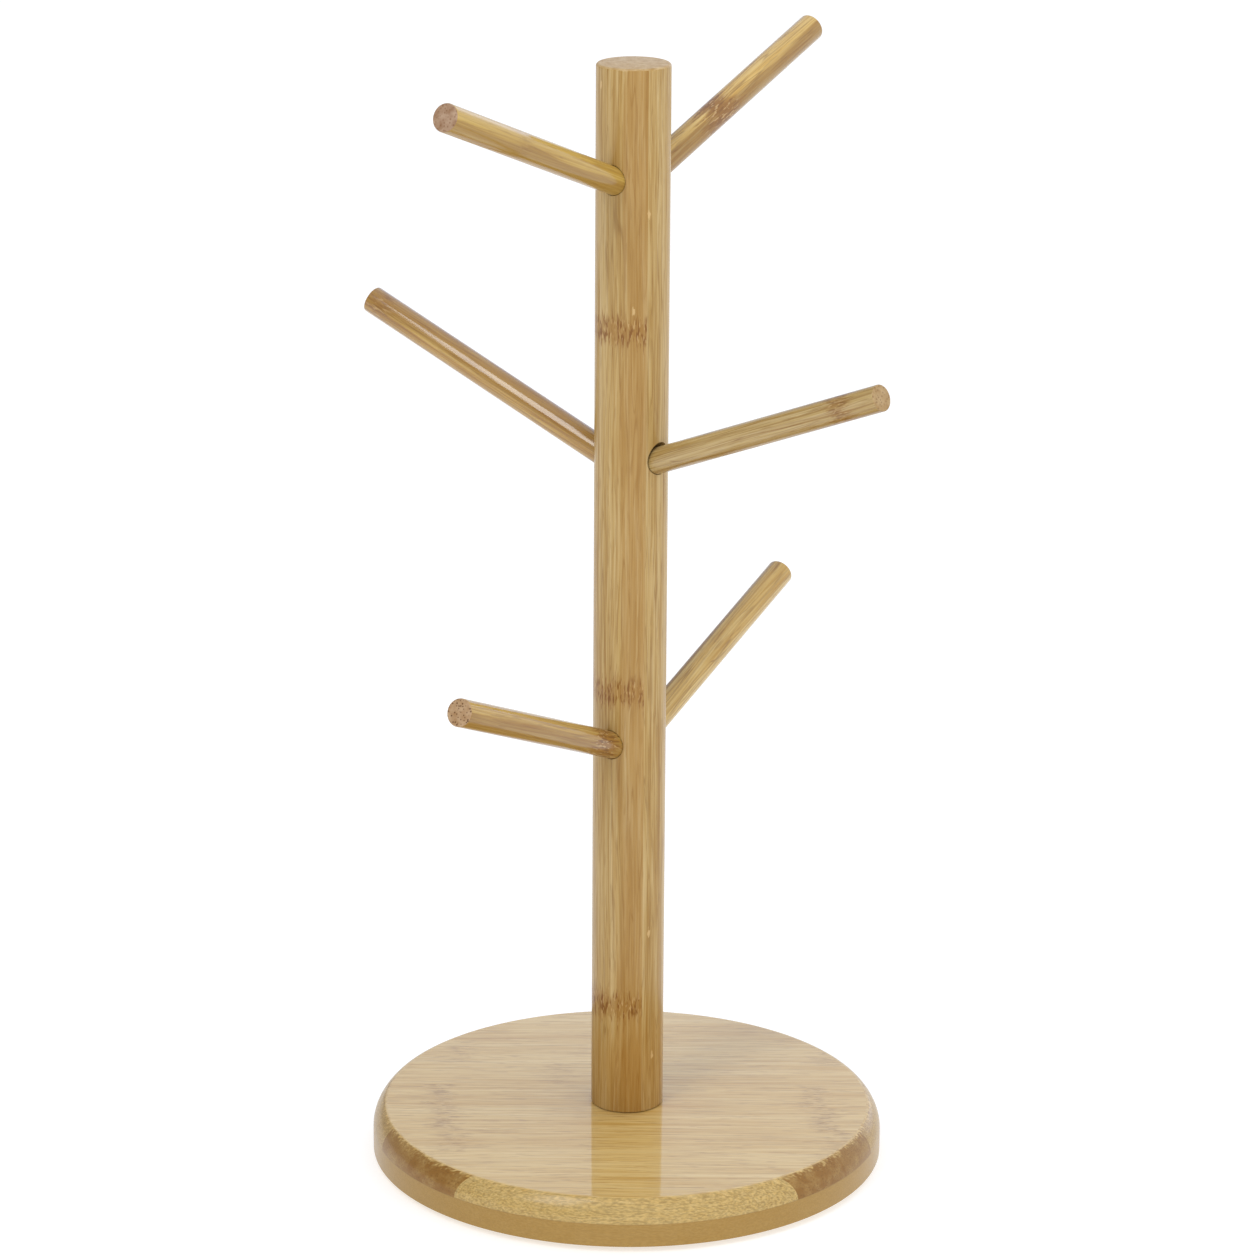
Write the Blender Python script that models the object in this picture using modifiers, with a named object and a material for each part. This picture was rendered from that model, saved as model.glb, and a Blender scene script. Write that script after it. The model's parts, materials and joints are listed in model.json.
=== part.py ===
"""Mug tree: a round board, a round post and six sloping round arms, with the screw, insert and
non-slip pads that hold it together and keep it still. Metres, +Z up. The origin is on the
post's axis, in the plane that the pads rest on."""

import math

import bmesh
import bpy
from mathutils import Matrix

# Board: its side is upright at the foot and rounds in toward the top face
BASE_R = 0.0900
BASE_THICKNESS = 0.0165
BASE_CROWN_HEIGHT = 0.0086
BASE_CROWN_INSET = 0.0042
BASE_FOOT_EASE = 0.0005

# Post
POST_R = 0.01265
POST_LENGTH = 0.3720
POST_EASE = 0.0010

# Arms: three levels, counted from the top of the post, with two arms at each
TOP_LEVEL_DROP = 0.0424
LEVEL_SPACING = 0.0991
ARM_R = 0.0046
ARM_SHOWN_LENGTH = 0.0998
ARM_SLOPE = 21.6
ARM_EASE = 0.0006

# How each hand-drilled arm departs from that rule: degrees of slope, metres of length and height
ARMS = {
    "arm_top_left": {"level": 0, "heading": -124.2, "tilt": -0.5, "longer": 0.0, "raised": 0.0},
    "arm_top_right": {"level": 0, "heading": 54.0, "tilt": -0.9, "longer": -0.0005, "raised": -0.0001},
    "arm_middle_left": {"level": 1, "heading": 149.0, "tilt": 2.2, "longer": 0.0020, "raised": 0.0009},
    "arm_middle_right": {"level": 1, "heading": -39.0, "tilt": 0.4, "longer": -0.0003, "raised": 0.0018},
    "arm_bottom_left": {"level": 2, "heading": -121.9, "tilt": 0.2, "longer": 0.0, "raised": -0.0001},
    "arm_bottom_right": {"level": 2, "heading": 58.5, "tilt": -1.1, "longer": -0.0021, "raised": -0.0007},
}

# Sockets end short of the post's axis, so that facing arms keep this web of wood between them
SOCKET_WEB = 0.0020

# One arm is thinner than the rest, and sits loose in a socket that is worn wider
LOOSE_ARM = "arm_middle_right"
LOOSE_ARM_THINNER = 0.0002
LOOSE_SOCKET_EXTRA = 0.0003

# Screw joint between the board and the post
INSERT_R = 0.0045
INSERT_LENGTH = 0.0120
INSERT_FLANGE_R = 0.0062
INSERT_FLANGE_HEIGHT = 0.0010
SCREW_R = 0.0029
SCREW_END_GAP = 0.0015
SCREW_TIP_EASE = 0.0005
SCREW_HEAD_R = 0.0058
SCREW_HEAD_LAND = 0.0005
SCREW_RECESS = 0.0020
HEX_WIDTH = 0.0040
HEX_DEPTH = 0.0022

# Non-slip pads
PAD_R = 0.0070
PAD_THICKNESS = 0.0015
PAD_EASE = 0.0003
PAD_EDGE_DISTANCE = 0.0220
PAD_HEADINGS = {
    "pad_back_right": 45,
    "pad_back_left": 135,
    "pad_front_left": 225,
    "pad_front_right": 315,
}

# Clearances
GLUE_GAP = 0.0003
CUT_PAST = 0.0020

# Facets round a turned shape, and along one rounded edge
BASE_FACETS = 96
POST_FACETS = 56
ARM_FACETS = 32
SMALL_FACETS = 24
CROWN_STEPS = 6
EASE_STEPS = 2
SHARP_ANGLE = math.radians(28)

# Heights that follow from the sizes above
BASE_FOOT_Z = PAD_THICKNESS + GLUE_GAP
BASE_TOP_Z = BASE_FOOT_Z + BASE_THICKNESS
POST_FOOT_Z = BASE_TOP_Z + GLUE_GAP
POST_TOP_Z = POST_FOOT_Z + POST_LENGTH
SCREW_HOLE_R = SCREW_R + GLUE_GAP
SCREW_CONE_HEIGHT = SCREW_HEAD_R - SCREW_R

BAMBOO = {"colour": (0.58, 0.37, 0.15), "roughness": 0.30, "metallic": 0.0}
BAMBOO_BOARD = {"colour": (0.60, 0.42, 0.21), "roughness": 0.28, "metallic": 0.0}
STEEL = {"colour": (0.55, 0.55, 0.56), "roughness": 0.35, "metallic": 1.0}
BRASS = {"colour": (0.72, 0.52, 0.22), "roughness": 0.35, "metallic": 1.0}
RUBBER = {"colour": (0.62, 0.62, 0.60), "roughness": 0.75, "metallic": 0.0}


def clear_scene():
    for obj in list(bpy.data.objects):
        bpy.data.objects.remove(obj, do_unlink=True)


def add_collection(name):
    collection = bpy.data.collections.new(name)
    bpy.context.scene.collection.children.link(collection)
    return collection


def add_material(name, look):
    material = bpy.data.materials.new(name)
    material.use_nodes = True
    shader = material.node_tree.nodes["Principled BSDF"]
    shader.inputs["Base Color"].default_value = (*look["colour"], 1.0)
    shader.inputs["Roughness"].default_value = look["roughness"]
    shader.inputs["Metallic"].default_value = look["metallic"]
    material.diffuse_color = (*look["colour"], 1.0)
    return material


def quarter_round(centre_r, centre_z, radius, start, end):
    """Points of a rounded edge, from one angle above the horizontal to another, in degrees."""
    points = []
    for step in range(EASE_STEPS + 1):
        angle = math.radians(start + (end - start) * step / EASE_STEPS)
        points.append((centre_r + radius * math.cos(angle), centre_z + radius * math.sin(angle)))
    return points


def turned(name, profile, facets, material, collection, closed=False):
    """A solid turned about Z. The profile holds (radius, height) points and runs down the outer
    side. An open profile starts and ends on the axis, and a closed one leaves a hole there."""
    guide = bmesh.new()
    corners = [guide.verts.new((r, 0.0, z)) for r, z in profile]
    pairs = list(zip(corners, corners[1:]))
    if closed:
        pairs.append((corners[-1], corners[0]))
    for pair in pairs:
        guide.edges.new(pair)
    outline = bpy.data.meshes.new(name + "_outline")
    guide.to_mesh(outline)
    guide.free()
    obj = bpy.data.objects.new(name, outline)
    collection.objects.link(obj)

    screw = obj.modifiers.new("Turn", "SCREW")
    screw.steps = facets
    screw.render_steps = facets
    screw.use_merge_vertices = True
    screw.merge_threshold = 0.00001
    bpy.context.view_layer.update()
    graph = bpy.context.evaluated_depsgraph_get()
    mesh = bpy.data.meshes.new_from_object(obj.evaluated_get(graph))
    mesh.name = name
    mesh.shade_smooth()
    mesh.set_sharp_from_angle(angle=SHARP_ANGLE)
    mesh.materials.clear()
    mesh.materials.append(material)
    obj.modifiers.clear()
    obj.data = mesh
    bpy.data.meshes.remove(outline)
    return obj


def cutter(name, radius, bottom, top, sides, collection):
    """An upright cylinder or prism that is cut away from another piece."""
    shape = bmesh.new()
    bmesh.ops.create_cone(
        shape,
        cap_ends=True,
        segments=sides,
        radius1=radius,
        radius2=radius,
        depth=top - bottom,
    )
    bmesh.ops.translate(shape, vec=(0.0, 0.0, (top + bottom) / 2), verts=shape.verts)
    mesh = bpy.data.meshes.new(name)
    shape.to_mesh(mesh)
    shape.free()
    obj = bpy.data.objects.new(name, mesh)
    obj.hide_render = True
    obj.display_type = "WIRE"
    collection.objects.link(obj)
    return obj


def cut(obj, tool):
    boolean = obj.modifiers.new(tool.name, "BOOLEAN")
    boolean.operation = "DIFFERENCE"
    boolean.solver = "EXACT"
    boolean.object = tool


def point_along_arm(obj, arm):
    """Turns the object's own Z onto the arm's axis, with its origin on the post's axis."""
    drop = TOP_LEVEL_DROP + arm["level"] * LEVEL_SPACING
    obj.location = (0.0, 0.0, POST_TOP_Z - drop + arm["raised"])
    slope = math.radians(ARM_SLOPE + arm["tilt"])
    obj.rotation_euler = (0.0, math.pi / 2 - slope, math.radians(arm["heading"]))


def arm_radius(name):
    return ARM_R - (LOOSE_ARM_THINNER if name == LOOSE_ARM else 0.0)


def socket_size(name, arm):
    """The socket's radius, and how far along the arm's axis from the post's axis it starts."""
    radius = ARM_R + GLUE_GAP + (LOOSE_SOCKET_EXTRA if name == LOOSE_ARM else 0.0)
    slope = math.radians(ARM_SLOPE + arm["tilt"])
    return radius, (SOCKET_WEB / 2 + radius * math.sin(slope)) / math.cos(slope)


def make_base(material, collection):
    crown_r = (BASE_CROWN_HEIGHT**2 + BASE_CROWN_INSET**2) / (2 * BASE_CROWN_INSET)
    sweep = math.asin(BASE_CROWN_HEIGHT / crown_r)
    crown_foot = BASE_THICKNESS - BASE_CROWN_HEIGHT
    profile = [(SCREW_HOLE_R, BASE_THICKNESS)]
    for step in range(CROWN_STEPS + 1):
        angle = sweep * (1 - step / CROWN_STEPS)
        r = BASE_R - crown_r + crown_r * math.cos(angle)
        profile.append((r, crown_foot + crown_r * math.sin(angle)))
    profile += quarter_round(BASE_R - BASE_FOOT_EASE, BASE_FOOT_EASE, BASE_FOOT_EASE, 0, -90)
    head_room_r = SCREW_HEAD_R + GLUE_GAP
    cone_foot = SCREW_RECESS + SCREW_HEAD_LAND + GLUE_GAP
    profile.append((head_room_r, 0.0))
    profile.append((head_room_r, cone_foot))
    profile.append((SCREW_HOLE_R, cone_foot + SCREW_CONE_HEIGHT))
    base = turned("base_board", profile, BASE_FACETS, material, collection, closed=True)
    base.location = (0.0, 0.0, BASE_FOOT_Z)
    return base


def make_post(material, collection, cutters):
    bore_r = INSERT_R + GLUE_GAP
    bore_top = INSERT_LENGTH + GLUE_GAP
    flange_room_r = INSERT_FLANGE_R + GLUE_GAP
    flange_room_top = INSERT_FLANGE_HEIGHT + GLUE_GAP
    profile = [(0.0, POST_LENGTH)]
    profile += quarter_round(POST_R - POST_EASE, POST_LENGTH - POST_EASE, POST_EASE, 90, 0)
    profile += [
        (POST_R, 0.0),
        (flange_room_r, 0.0),
        (flange_room_r, flange_room_top),
        (bore_r, flange_room_top),
        (bore_r, bore_top),
        (0.0, bore_top),
    ]
    post = turned("post", profile, POST_FACETS, material, collection)
    post.location = (0.0, 0.0, POST_FOOT_Z)

    for name, arm in ARMS.items():
        socket_r, socket_end = socket_size(name, arm)
        mouth = socket_end + (POST_R + socket_r) / math.cos(math.radians(ARM_SLOPE)) + CUT_PAST
        tool = cutter(name + "_socket", socket_r, socket_end, mouth, ARM_FACETS, cutters)
        # The loose arm lies at the bottom of its socket, whose axis is higher by the extra room.
        raised = socket_r - arm_radius(name) - GLUE_GAP
        tool.data.transform(Matrix.Translation((-raised, 0.0, 0.0)))
        point_along_arm(tool, arm)
        cut(post, tool)
    return post


def make_arm(name, arm, material, collection):
    slope = math.radians(ARM_SLOPE + arm["tilt"])
    root = socket_size(name, arm)[1] + GLUE_GAP
    tip = POST_R / math.cos(slope) + ARM_SHOWN_LENGTH + arm["longer"]
    ease_r = arm_radius(name) - ARM_EASE
    profile = [(0.0, tip)]
    profile += quarter_round(ease_r, tip - ARM_EASE, ARM_EASE, 90, 0)
    profile += quarter_round(ease_r, root + ARM_EASE, ARM_EASE, 0, -90)
    profile.append((0.0, root))
    obj = turned(name, profile, ARM_FACETS, material, collection)
    point_along_arm(obj, arm)
    return obj


def make_insert(material, collection):
    """The brass insert in the post's foot, with its flange flush with the foot."""
    profile = [
        (INSERT_R, INSERT_LENGTH),
        (INSERT_R, INSERT_FLANGE_HEIGHT),
        (INSERT_FLANGE_R, INSERT_FLANGE_HEIGHT),
        (INSERT_FLANGE_R, 0.0),
        (SCREW_HOLE_R, 0.0),
        (SCREW_HOLE_R, INSERT_LENGTH),
    ]
    insert = turned("threaded_insert", profile, SMALL_FACETS, material, collection, closed=True)
    insert.location = (0.0, 0.0, POST_FOOT_Z)
    return insert


def make_screw(material, collection, cutters):
    """The countersunk screw, from the recess under the board up into the insert."""
    head_z = BASE_FOOT_Z + SCREW_RECESS
    length = POST_FOOT_Z + INSERT_LENGTH - SCREW_END_GAP - head_z
    profile = [
        (0.0, length),
        (SCREW_R - SCREW_TIP_EASE, length),
        (SCREW_R, length - SCREW_TIP_EASE),
        (SCREW_R, SCREW_HEAD_LAND + SCREW_CONE_HEIGHT),
        (SCREW_HEAD_R, SCREW_HEAD_LAND),
        (SCREW_HEAD_R, 0.0),
        (0.0, 0.0),
    ]
    screw = turned("base_screw", profile, SMALL_FACETS, material, collection)
    screw.location = (0.0, 0.0, head_z)
    corner_r = HEX_WIDTH / 2 / math.cos(math.pi / 6)
    tool = cutter("hex_socket", corner_r, -CUT_PAST, HEX_DEPTH, 6, cutters)
    tool.location = screw.location
    cut(screw, tool)
    return screw


def make_pad(name, heading, material, collection):
    profile = [(0.0, PAD_THICKNESS), (PAD_R, PAD_THICKNESS)]
    profile += quarter_round(PAD_R - PAD_EASE, PAD_EASE, PAD_EASE, 0, -90)
    profile.append((0.0, 0.0))
    pad = turned(name, profile, SMALL_FACETS, material, collection)
    circle_r = BASE_R - PAD_EDGE_DISTANCE
    angle = math.radians(heading)
    pad.location = (circle_r * math.cos(angle), circle_r * math.sin(angle), 0.0)
    return pad


def main():
    clear_scene()
    parts = add_collection("mug_tree")
    cutters = add_collection("cutters")
    bamboo = add_material("bamboo", BAMBOO)
    bamboo_board = add_material("bamboo_board", BAMBOO_BOARD)
    steel = add_material("screw_steel", STEEL)
    brass = add_material("insert_brass", BRASS)
    rubber = add_material("pad_rubber", RUBBER)

    pieces = [make_base(bamboo_board, parts), make_post(bamboo, parts, cutters)]
    for name, arm in ARMS.items():
        pieces.append(make_arm(name, arm, bamboo, parts))
    pieces.append(make_insert(brass, parts))
    pieces.append(make_screw(steel, parts, cutters))
    for name, heading in PAD_HEADINGS.items():
        pieces.append(make_pad(name, heading, rubber, parts))

    frame = bpy.data.objects.new("mug_tree_frame", None)
    parts.objects.link(frame)
    for piece in pieces + list(cutters.objects):
        piece.parent = frame


main()
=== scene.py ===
import json
import math

import bmesh
import bpy
import numpy as np
from mathutils import Matrix, Vector


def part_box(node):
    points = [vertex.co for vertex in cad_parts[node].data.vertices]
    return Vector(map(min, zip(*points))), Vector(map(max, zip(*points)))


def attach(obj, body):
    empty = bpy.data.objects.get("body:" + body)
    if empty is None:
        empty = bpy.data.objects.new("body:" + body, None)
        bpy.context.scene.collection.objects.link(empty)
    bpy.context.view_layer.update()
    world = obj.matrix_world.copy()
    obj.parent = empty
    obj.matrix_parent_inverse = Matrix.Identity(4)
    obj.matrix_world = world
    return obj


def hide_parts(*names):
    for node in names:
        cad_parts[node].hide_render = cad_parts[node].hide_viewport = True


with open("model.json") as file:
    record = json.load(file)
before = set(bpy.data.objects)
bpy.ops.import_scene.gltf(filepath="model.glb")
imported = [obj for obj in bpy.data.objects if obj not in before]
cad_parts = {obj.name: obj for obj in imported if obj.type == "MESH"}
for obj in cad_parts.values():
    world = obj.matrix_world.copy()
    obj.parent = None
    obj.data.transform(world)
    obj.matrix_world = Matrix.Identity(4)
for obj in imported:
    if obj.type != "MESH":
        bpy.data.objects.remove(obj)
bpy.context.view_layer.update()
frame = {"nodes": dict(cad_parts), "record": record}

cadNodes = frame["nodes"]
slotOf = {part["node"]: part["material_slot"] for part in frame["record"]["subparts"]}
mm = 0.001
eased = {"interpolation_type": "SMOOTHSTEP"}   # a range that starts and ends gently
stained = {"data_type": "RGBA", "out": 2}      # one colour worked into another


# sRGB hex to the linear colour that shaders take
def linear(code):
    channels = [int(code[i:i + 2], 16) / 255 for i in (1, 3, 5)]
    return tuple(c / 12.92 if c <= 0.04045 else ((c + 0.055) / 1.055) ** 2.4 for c in channels) + (1.0,)


# the same wood with its pigment over 1 deeper and browner, or under 1 paler
def deepened(code, depth):
    return tuple(channel ** depth for channel in linear(code)[:3]) + (1.0,)


# adds a node: inputs in order, then sockets and options by name; an input is a value or a link
def addNode(tree, kind, *inputs, out=0, **settings):
    node = tree.nodes.new("ShaderNode" + kind)
    sockets = {socket.identifier: socket for socket in node.inputs}
    fed = list(zip(node.inputs, inputs))
    for name, value in settings.items():
        if name in sockets:
            fed.append((sockets[name], value))
        else:
            setattr(node, name, value)
    for socket, value in fed:
        if isinstance(value, bpy.types.NodeSocket):
            tree.links.new(value, socket)
        else:
            socket.default_value = value
    return node.outputs[out]


def newMaterial(name, shaderValues):
    material = bpy.data.materials.new(name)
    material.use_nodes = True
    shader = material.node_tree.nodes["Principled BSDF"]
    for socket, value in shaderValues.items():
        shader.inputs[socket].default_value = value
    return material, material.node_tree, shader


# Bamboo is a grass: long straight fibres in paler pith, so a cut along it shows streaks and a cut
# across it shows dots. Each cane has a knuckle every 11 to 14 cm, brown and speckled once planed.
# Single fibres are 0.02 mm wide, too fine to show, so the finest lines here stand for many of them.
bamboo = {
    "fibreWidths": [(5.0, 150.0, 0.28), (1.5, 60.0, 0.34), (0.55, 26.0, 0.38)],   # mm wide, mm long, share
    "bundleSpacing": 1.05,    # mm between the dark fibre bundles
    "bundleLength": 120.0,    # mm
    "bundleScatter": 0.75,
    "bundleFade": (0.14, 0.44),   # from its middle to its rim, in spacings
    "hairlines": [(2.6, 90.0), (1.3, 45.0)],   # mm apart, mm long
    "hairlineWidth": 0.035,   # share of that spacing
    "hairPatch": (1.8, 22.0),     # mm wide, mm long: where hairlines come and go
    "hairPatchFade": (0.38, 0.6),
    "dash": (0.6, 9.0),       # mm wide, mm long: short dark pores
    "dashFade": (0.58, 0.68),
    "pore": (0.75, 4.5),      # the same in a knuckle
    "poreFade": (0.49, 0.60),
    "torn": (0.6, 3.0),       # and its pale torn fibres
    "tornFade": (0.57, 0.66),
    "feather": (0.9, 12.0),       # mm wide, mm long: how a knuckle's edge runs out
    "featherFade": (0.30, 0.70),
    "featherReach": (0.4, 2.4),   # least and most, in halves of the knuckle
    "knuckleCore": 0.25,      # share of that reach with the full colour
    "wander": 1.3,            # mm that a fibre drifts sideways
    "wanderLength": 70.0,     # mm over which it drifts
    "wanderAcross": 0.12,     # change of that drift in each mm across
    "shift": 173.0,           # mm, so that no two strips share their fibres
    "proud": (0.5, 20.0),     # mm wide, mm long: fibres that stand proud
    "proudStrength": 0.4,
}


# the piece's own coordinates in mm, as (across, depth, along the fibres)
def grainSpace(tree, fibresAlong):
    place = addNode(tree, "TexCoord", out="Object")
    place = addNode(tree, "VectorMath", place, Scale=1 / mm, operation="SCALE")
    x, y, z = addNode(tree, "SeparateXYZ", place).node.outputs
    return {"X": (y, z, x), "Z": (x, y, z)}[fibresAlong]


# one number from 0 to 1 that stays the same all over a strip, and differs from strip to strip
def stripNumber(tree, across, depth, look):
    wide, high = look["stripWidth"], look["layerHeight"]
    column = addNode(tree, "Math", across, 1 / wide, -look["stripStart"] / wide, operation="MULTIPLY_ADD")
    column = addNode(tree, "Math", column, operation="FLOOR")
    layer = addNode(tree, "Math", depth, 1 / high, -look["layerStart"] / high, operation="MULTIPLY_ADD")
    layer = addNode(tree, "Math", layer, operation="FLOOR")
    cell = addNode(tree, "CombineXYZ", column, layer, look["seed"])
    return addNode(tree, "TexWhiteNoise", cell, noise_dimensions="3D"), column


# looks up the value that a list gives for each strip, counted from the front
def perStrip(tree, column, values, low=0.0, high=1.0):
    count = len(values)
    place = addNode(tree, "Math", column, 1 / count, 0.5 / count, operation="MULTIPLY_ADD")
    ramp = addNode(tree, "ValToRGB", place)
    steps = ramp.node.color_ramp
    steps.interpolation = "CONSTANT"
    steps.elements[1].position = 1 / count
    for index in range(2, count):
        steps.elements.new(index / count)
    for step, value in zip(steps.elements, values):
        level = (value - low) / (high - low)
        step.color = (level, level, level, 1.0)
    return addNode(tree, "MapRange", ramp, 0.0, 1.0, low, high)


# fibre coordinates: shifted from strip to strip, and drifting a little along their length
def fibreSpace(tree, across, depth, along, number):
    shift = addNode(tree, "Math", number, bamboo["shift"], operation="MULTIPLY")
    straight = addNode(tree, "CombineXYZ", across, depth, along)
    straight = addNode(tree, "VectorMath", straight, shift, operation="ADD")
    slow = (bamboo["wanderAcross"], bamboo["wanderAcross"], 1 / bamboo["wanderLength"])
    slowPlace = addNode(tree, "VectorMath", straight, slow, operation="MULTIPLY")
    drift = addNode(tree, "TexNoise", slowPlace, Scale=1.0, Detail=1.0, out="Color")
    drift = addNode(tree, "VectorMath", drift, (0.5, 0.5, 0.5), operation="SUBTRACT")
    reach = 2 * bamboo["wander"]
    drift = addNode(tree, "VectorMath", drift, (reach, reach, 0.0), operation="MULTIPLY")
    return addNode(tree, "VectorMath", straight, drift, operation="ADD")


# noise drawn out along the fibres, wide by long in mm
def drawnOut(tree, fibres, wide, long, detail=1.0):
    place = addNode(tree, "VectorMath", fibres, (1 / wide, 1 / wide, 1 / long), operation="MULTIPLY")
    return addNode(tree, "TexNoise", place, Scale=1.0, Detail=detail)


# broad, medium and fine streaks added up, about 0.5 on average
def streaks(tree, fibres):
    total = 0.0
    for wide, long, share in bamboo["fibreWidths"]:
        streak = drawnOut(tree, fibres, wide, long)
        total = addNode(tree, "Math", streak, share, total, operation="MULTIPLY_ADD")
    return total


# depth in the middle of each dark fibre bundle, 0 between them: dots on a cross cut, lines along it
def bundles(tree, fibres, spacing, depth):
    stretch = (1 / spacing, 1 / spacing, 1 / bamboo["bundleLength"])
    place = addNode(tree, "VectorMath", fibres, stretch, operation="MULTIPLY")
    cells = addNode(tree, "TexVoronoi", place, Scale=1.0, Randomness=bamboo["bundleScatter"])
    return addNode(tree, "MapRange", cells, *bamboo["bundleFade"], depth, 0.0, **eased)


# thin lines where a slow noise crosses its middle value: single fibres that stand out dark
def hairlines(tree, fibres, depth):
    total = 0.0
    for spacing, long in bamboo["hairlines"]:
        away = drawnOut(tree, fibres, spacing, long, detail=0.0)
        away = addNode(tree, "Math", away, 0.5, operation="SUBTRACT")
        away = addNode(tree, "Math", away, operation="ABSOLUTE")
        line = addNode(tree, "MapRange", away, 0.0, bamboo["hairlineWidth"], 1.0, 0.0, **eased)
        total = addNode(tree, "Math", total, line, operation="MAXIMUM")
    patch = drawnOut(tree, fibres, *bamboo["hairPatch"])
    patch = addNode(tree, "MapRange", patch, *bamboo["hairPatchFade"], 0.0, depth, **eased)
    return addNode(tree, "Math", total, patch, operation="MULTIPLY")


# 1 on a knuckle's middle line, feathering out along each fibre by its own length
def knuckle(tree, fibres, along, middle, half):
    away = addNode(tree, "Math", along, middle, operation="SUBTRACT")
    away = addNode(tree, "Math", away, operation="ABSOLUTE")
    least, most = bamboo["featherReach"]
    feather = drawnOut(tree, fibres, *bamboo["feather"], detail=2.0)
    reach = addNode(tree, "MapRange", feather, *bamboo["featherFade"], half * least, half * most)
    share = addNode(tree, "Math", away, reach, operation="DIVIDE")
    return addNode(tree, "MapRange", share, bamboo["knuckleCore"], 1.0, 1.0, 0.0, **eased)


# knuckle colouring: brown stain, darker pores and pale torn fibres where the mask is
def stainKnuckle(tree, colour, fibres, mask, look):
    depth = look["knuckleDepth"]
    stain = addNode(tree, "Math", mask, depth * look["stainShow"], operation="MULTIPLY")
    colour = addNode(tree, "Mix", stain, A_Color=colour, B_Color=linear(look["knuckle"]), **stained)
    pore = drawnOut(tree, fibres, *bamboo["pore"], detail=2.0)
    pore = addNode(tree, "MapRange", pore, *bamboo["poreFade"], 0.0, depth * look["poreShow"], **eased)
    pore = addNode(tree, "Math", pore, mask, operation="MULTIPLY")
    colour = addNode(tree, "Mix", pore, A_Color=colour, B_Color=linear(look["knucklePore"]), **stained)
    fleck = drawnOut(tree, fibres, *bamboo["torn"])
    fleck = addNode(tree, "MapRange", fleck, *bamboo["tornFade"], 0.0, depth * look["fleckShow"], **eased)
    fleck = addNode(tree, "Math", fleck, mask, operation="MULTIPLY")
    return addNode(tree, "Mix", fleck, A_Color=colour, B_Color=linear(look["fleck"]), **stained)


# plain streaked bamboo: the look's tone, paler and deeper from fibre to fibre
def streakedColour(tree, fibres, number, look):
    change = look["stripChange"]
    change = addNode(tree, "MapRange", number, 0.0, 1.0, -change, change)
    ramp = addNode(tree, "ValToRGB", addNode(tree, "Math", streaks(tree, fibres), change, operation="ADD"))
    stops = ramp.node.color_ramp.elements
    stops[0].position, stops[0].color = 0.5 - look["contrast"], deepened(look["tone"], look["deepest"])
    stops[1].position, stops[1].color = 0.5 + look["contrast"], deepened(look["tone"], look["palest"])
    stops.new(0.5).color = linear(look["tone"])
    lines = bundles(tree, fibres, bamboo["bundleSpacing"], look["bundleDepth"])
    colour = addNode(tree, "Mix", lines, A_Color=ramp, B_Color=linear(look["bundle"]), **stained)
    hairs = hairlines(tree, fibres, look["hairDepth"])
    colour = addNode(tree, "Mix", hairs, A_Color=colour, B_Color=linear(look["bundle"]), **stained)
    dash = drawnOut(tree, fibres, *bamboo["dash"])
    dash = addNode(tree, "MapRange", dash, *bamboo["dashFade"], 0.0, look["dashDepth"], **eased)
    return addNode(tree, "Mix", dash, A_Color=colour, B_Color=linear(look["bundle"]), **stained)


# clear lacquer: a smooth glossy coat over wood that scatters softly beneath it
def lacquerValues(look):
    return {
        "Roughness": 0.5, "IOR": 1.45, "Specular IOR Level": 0.1,
        "Coat Weight": look["lacquer"], "Coat Roughness": look["gloss"], "Coat IOR": look["lacquerIOR"],
    }


# fibres stand a few hundredths of a mm proud, and the lacquer follows them less
def fibreRelief(tree, shader, fibres, look):
    fine = drawnOut(tree, fibres, *bamboo["proud"])
    for socket, share in (("Normal", 1.0), ("Coat Normal", look["coatRelief"])):
        height = look["relief"] * share * mm
        bump = addNode(tree, "Bump", Strength=bamboo["proudStrength"], Distance=height, Height=fine)
        tree.links.new(bump, shader.inputs[socket])


cutEnd = {
    "cloud": 2.4, "cloudFade": (0.30, 0.70),   # mm across a cloudy patch
    "palest": 0.82, "deepest": 1.25,
    "apart": 40.0,   # mm between the patterns of two pieces whose seeds differ by 1
    "relief": 0.06, "coatRelief": 0.5,   # mm that fibres stand proud, and the lacquer's share of it
    "lacquer": 0.25, "gloss": 0.3, "lacquerIOR": 1.5,
}


# cross-cut bamboo: pinkish tan with brown fibre dots, too thirsty to keep a gloss, so nearly matt
def cutEndBamboo(name, look):
    material, tree, shader = newMaterial("crossCutBamboo_" + name, lacquerValues(cutEnd))
    across, depth, _ = grainSpace(tree, "Z")
    place = addNode(tree, "CombineXYZ", across, depth, look["seed"] * cutEnd["apart"])
    cloud = drawnOut(tree, place, cutEnd["cloud"], cutEnd["cloud"], detail=3.0)
    ramp = addNode(tree, "ValToRGB", cloud)
    stops = ramp.node.color_ramp.elements
    stops[0].position, stops[1].position = cutEnd["cloudFade"]
    stops[0].color = deepened(look["endTone"], cutEnd["deepest"])
    stops[1].color = deepened(look["endTone"], cutEnd["palest"])
    dots = bundles(tree, place, look["endDotSpacing"], look["endDotDepth"])
    colour = addNode(tree, "Mix", dots, A_Color=ramp, B_Color=linear(look["endDot"]), **stained)
    tree.links.new(colour, shader.inputs["Base Color"])
    fibreRelief(tree, shader, place, cutEnd)
    return material


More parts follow.
